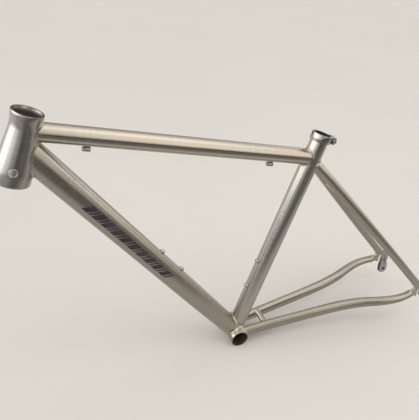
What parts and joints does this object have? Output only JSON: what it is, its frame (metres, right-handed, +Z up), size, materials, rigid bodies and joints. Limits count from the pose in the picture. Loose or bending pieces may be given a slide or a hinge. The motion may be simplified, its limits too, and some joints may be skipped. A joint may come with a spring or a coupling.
{
  "type": "bicycle frame",
  "caption": "Bare hardtail bicycle frame of welded brushed metal tubes with tapered head tube, curved stays, slotted dropouts, seat collar and bottle bosses.",
  "frame": {"origin": "centre of the frame's box at its underside: on the mid-plane, halfway along the length, level with the bottom of the bottom bracket shell, whose centre is 11.95 mm forward and 20 mm up", "axes": "+X forward to the head tube, +Y to the rider's left, +Z up"},
  "size_m": [0.9237, 0.1642, 0.5746],
  "materials": {
    "tube_warm": "brushed titanium tube, warm grey",
    "head_grey": "brushed titanium, cooler grey",
    "machined": "machined titanium",
    "polished": "polished aluminium",
    "screw": "stainless fastener",
    "hanger_grey": "satin grey anodised aluminium",
    "dark": "black oxide steel, and the ink of the plain graphic"
  },
  "bodies": {
    "frame": {"bottle_boss_down_lower": "machined", "bottle_boss_down_upper": "machined", "bottle_boss_seat_lower": "machined", "bottle_boss_seat_upper": "machined", "bottom_bracket_shell": "machined", "cable_stop_front": "machined", "cable_stop_rear": "machined", "chainstay_bridge": "tube_warm", "chainstay_left": "tube_warm", "chainstay_right": "tube_warm", "derailleur_hanger": "hanger_grey", "down_tube": "tube_warm", "dropout_left": "machined", "dropout_right": "machined", "head_badge": "polished", "head_tube": "head_grey", "seat_tube": "tube_warm", "seatstay_bridge": "tube_warm", "seatstay_left": "tube_warm", "seatstay_right": "tube_warm", "top_tube": "tube_warm"},
    "seat_collar": {"seat_collar": "polished", "seat_collar_washer": "screw", "seat_collar_nut": "screw"},
    "seat_collar_bolt": {"seat_collar_bolt": "screw"},
    "hanger_bolt": {"hanger_bolt": "dark"},
    "bottle_bolt_down_lower": {"bottle_bolt_down_lower": "screw"},
    "bottle_bolt_down_upper": {"bottle_bolt_down_upper": "screw"},
    "bottle_bolt_seat_lower": {"bottle_bolt_seat_lower": "screw"},
    "bottle_bolt_seat_upper": {"bottle_bolt_seat_upper": "screw"}
  },
  "joints": [
    {"name": "collar_turn", "type": "hinge", "parent": "frame", "child": "seat_collar", "pos_m": [-0.12722, 0, 0.4752], "axis": [-0.2924, 0, 0.9563], "continuous": true},
    {"name": "collar_bolt_spin", "type": "hinge", "parent": "seat_collar", "child": "seat_collar_bolt", "pos_m": [-0.1517, 0, 0.46772], "axis": [0, 1, 0], "continuous": true},
    {"name": "hanger_bolt_spin", "type": "hinge", "parent": "frame", "child": "hanger_bolt", "pos_m": [-0.44325, -0.0675, 0.0694], "axis": [0, -1, 0], "continuous": true},
    {"name": "down_lower_bolt_spin", "type": "hinge", "parent": "frame", "child": "bottle_bolt_down_lower", "pos_m": [0.1449, 0, 0.21925], "axis": [-0.7766, 0, 0.6299], "continuous": true},
    {"name": "seat_lower_bolt_spin", "type": "hinge", "parent": "frame", "child": "bottle_bolt_seat_lower", "pos_m": [-0.00709, 0, 0.14196], "axis": [0.9563, 0, 0.2924], "continuous": true},
    {"name": "down_upper_bolt_spin", "type": "hinge", "parent": "frame", "child": "bottle_bolt_down_upper", "pos_m": [0.18504, 0, 0.2691], "axis": [-0.7766, 0, 0.6299], "continuous": true},
    {"name": "seat_upper_bolt_spin", "type": "hinge", "parent": "frame", "child": "bottle_bolt_seat_upper", "pos_m": [-0.0258, 0, 0.20317], "axis": [0.9563, 0, 0.2924], "continuous": true}
  ]
}
